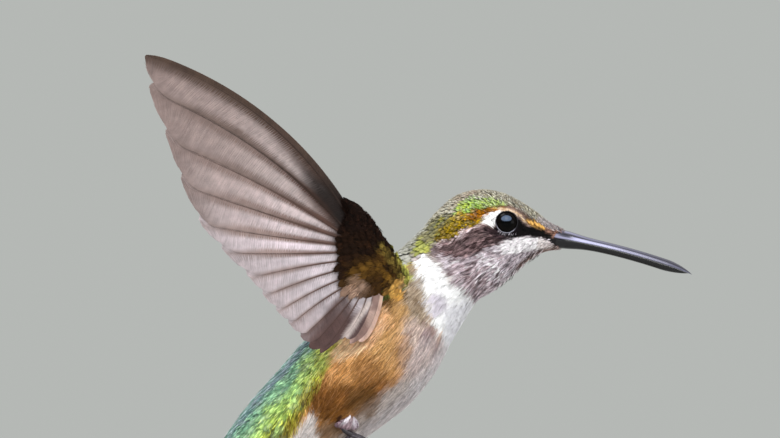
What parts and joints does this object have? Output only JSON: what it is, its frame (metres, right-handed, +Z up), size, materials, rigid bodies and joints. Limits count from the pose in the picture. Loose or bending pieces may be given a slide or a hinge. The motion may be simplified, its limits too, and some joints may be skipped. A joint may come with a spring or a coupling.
{
  "type": "hummingbird specimen model",
  "caption": "Life-size hovering hummingbird with raised wings, long straight bill and fanned tail, held by a thin rod on a round wooden base.",
  "frame": {"origin": "centre of the underside of the stand's round base", "axes": "+X towards the bird's bill, +Y towards the bird's left side, +Z up"},
  "size_m": [0.0716, 0.0658, 0.0805],
  "materials": {
    "head_plumage": "matte feathers, green to gold on the crown, purplish brown on the cheek",
    "neck_plumage": "matte feathers, white collar",
    "trunk_plumage": "matte feathers, rufous flank, white belly, green back",
    "rump_plumage": "scaly feathers, green above, white below",
    "bill_upper_horn": "satin",
    "bill_lower_horn": "satin",
    "eye": "gloss",
    "wing_coverts": "matte feathers",
    "flight_feathers": "satin feathers with brown shafts",
    "tail_feathers": "satin feathers, green with black and white tips",
    "leg_tuft": "matte down",
    "foot_skin": "matte",
    "stand_wood": "satin",
    "stand_steel": "satin"
  },
  "bodies": {
    "root": {"head": "head_plumage", "neck": "neck_plumage", "trunk": "trunk_plumage", "tail_base": "rump_plumage", "bill_upper": "bill_upper_horn", "bill_lower": "bill_lower_horn", "eye_right": "eye", "eye_left": "eye", "wing_right_arm": "wing_coverts", "wing_left_arm": "wing_coverts", "wing_right_primaries": "flight_feathers", "wing_left_primaries": "flight_feathers", "wing_right_secondaries": "flight_feathers", "wing_left_secondaries": "flight_feathers", "tail_feathers": "tail_feathers", "thigh_right": "leg_tuft", "thigh_left": "leg_tuft", "foot_right": "foot_skin", "foot_left": "foot_skin", "stand_base": "stand_wood", "stand_rod": "stand_steel"}
  },
  "joints": []
}
